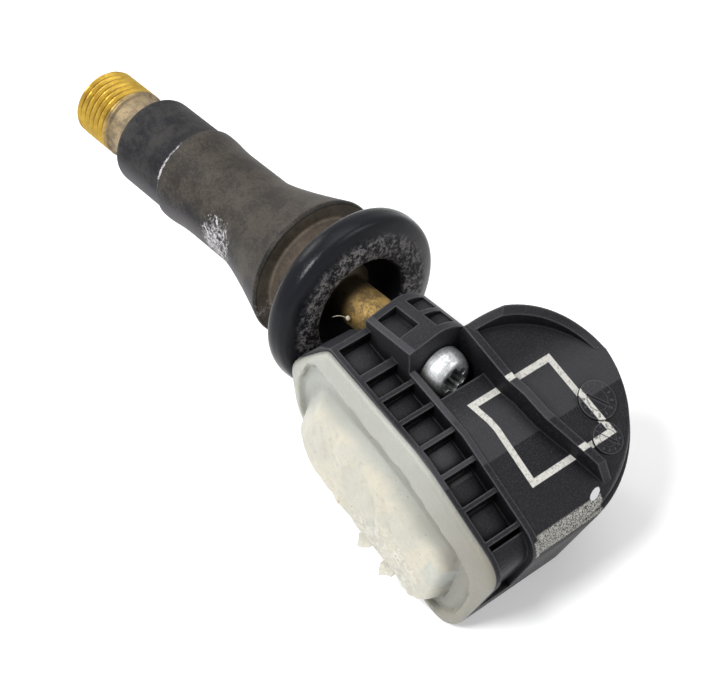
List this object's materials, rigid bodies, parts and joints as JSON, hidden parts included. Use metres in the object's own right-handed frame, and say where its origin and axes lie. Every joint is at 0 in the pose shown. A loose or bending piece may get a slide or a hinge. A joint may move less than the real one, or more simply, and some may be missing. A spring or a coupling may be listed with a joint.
{
  "type": "tyre pressure sensor",
  "caption": "Snap-in tyre pressure sensor: a rubber valve on a brass stem carries a ribbed black housing with a round back and white potting.",
  "frame": {"origin": "on the valve axis, at the middle of the rubber groove that grips the wheel rim", "axes": "-X along the valve axis towards the threaded tip, +Z the side of the housing that carries its marking, -Y the potted face of the housing"},
  "size_m": [0.0726, 0.0262, 0.0299],
  "materials": {
    "housing_plastic": "moulded glass-filled plastic, fine grain",
    "silicone": "milky potting gel, satin",
    "valve_rubber": "dusty vulcanised rubber",
    "valve_brass": "turned brass, dulled",
    "screw_zinc": "bright zinc",
    "core_brass": "plain",
    "seal_light": "fluoropolymer ring",
    "seal_black": "plain",
    "spring_steel": "wire",
    "board_green": "solder mask",
    "cell_steel": "bright",
    "chip_black": "moulded",
    "ferrite": "sintered",
    "copper": "enamelled copper",
    "ceramic": "plain"
  },
  "bodies": {
    "sensor": {"housing": "housing_plastic", "potting": "silicone", "valve_rubber": "valve_rubber", "valve_stem": "valve_brass", "mount_screw": "screw_zinc", "core_plug": "core_brass", "core_seal_ring": "seal_light", "core_barrel": "core_brass", "core_spring": "spring_steel", "circuit_board": "board_green", "coin_cell": "cell_steel", "tab_positive": "screw_zinc", "tab_negative": "screw_zinc", "sensor_chip": "chip_black", "inlet_seal": "seal_black", "lf_coil_core": "ferrite", "lf_coil_winding": "copper", "rf_antenna": "copper", "rf_crystal": "cell_steel", "chip_capacitors": "ceramic"},
    "pin": {"core_pin": "core_brass", "core_cup": "core_brass", "core_cup_seal": "seal_black"}
  },
  "joints": [
    {"name": "core_pin_slide", "type": "slide", "parent": "sensor", "child": "pin", "axis": [1, 0, 0], "range_m": [0, 0.0012], "stiffness_N_per_m": 1000, "springref_m": -0.0018, "deforming": ["core_spring"]}
  ]
}
